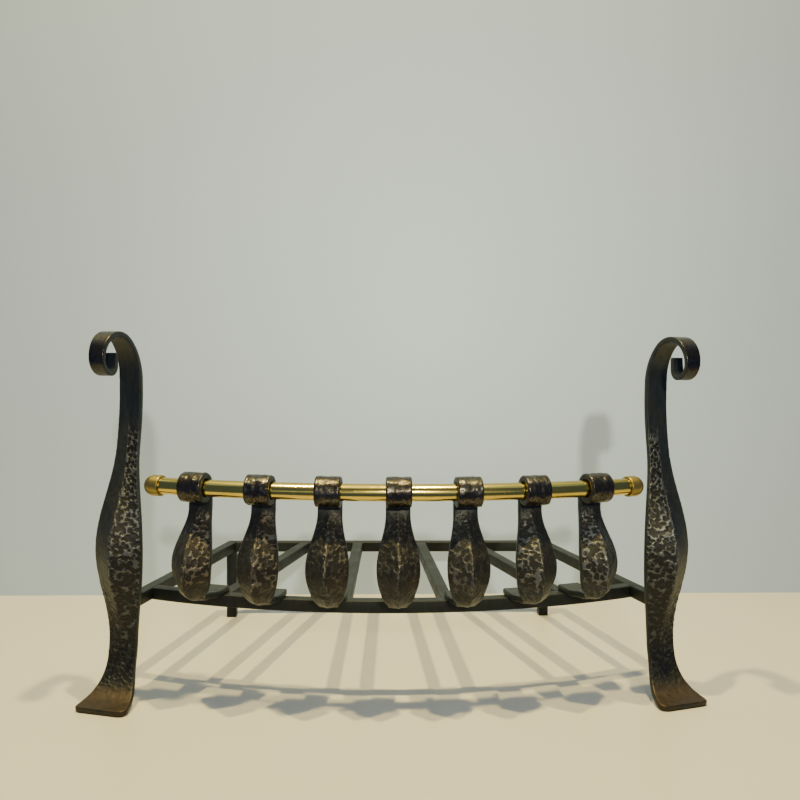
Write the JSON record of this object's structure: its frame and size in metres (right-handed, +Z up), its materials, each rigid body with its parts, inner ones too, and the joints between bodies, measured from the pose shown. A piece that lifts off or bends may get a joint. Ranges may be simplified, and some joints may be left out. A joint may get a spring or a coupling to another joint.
{
  "type": "fire grate",
  "caption": "Forged iron fire grate: fan of square bars on scrolled posts and rear legs, ridged leaf uprights with rolled eyes that carry a curved brass rail.",
  "frame": {"origin": "on the floor, under the middle of the overall box", "axes": "+Z up, the front with the brass rail towards -Y, +X to the right as seen from the front"},
  "size_m": [0.596, 0.317, 0.3523],
  "materials": {
    "forged_iron": "hammered, burnished on the high spots and lacquered, with dark scale in the hollows",
    "bar_iron": "dark bar stock with mill scale, satin",
    "brass": "polished"
  },
  "bodies": {
    "grate": {"left_post": "forged_iron", "right_post": "forged_iron", "upright_1": "forged_iron", "upright_2": "forged_iron", "upright_3": "forged_iron", "upright_4": "forged_iron", "upright_5": "forged_iron", "upright_6": "forged_iron", "upright_7": "forged_iron", "front_bar": "bar_iron", "back_bar": "bar_iron", "left_side_bar": "bar_iron", "right_side_bar": "bar_iron", "grate_bar_1": "bar_iron", "grate_bar_2": "bar_iron", "grate_bar_3": "bar_iron", "grate_bar_4": "bar_iron", "left_rear_leg": "bar_iron", "right_rear_leg": "bar_iron"},
    "rail": {"brass_rail": "brass", "left_rail_cap": "brass", "right_rail_cap": "brass"}
  },
  "joints": [
    {"name": "rail_slide", "type": "hinge", "parent": "grate", "child": "rail", "pos_m": [0, 0.54649, 0.207], "axis": [0, 0, 1], "range_deg": [-0.48, 0.48]}
  ]
}
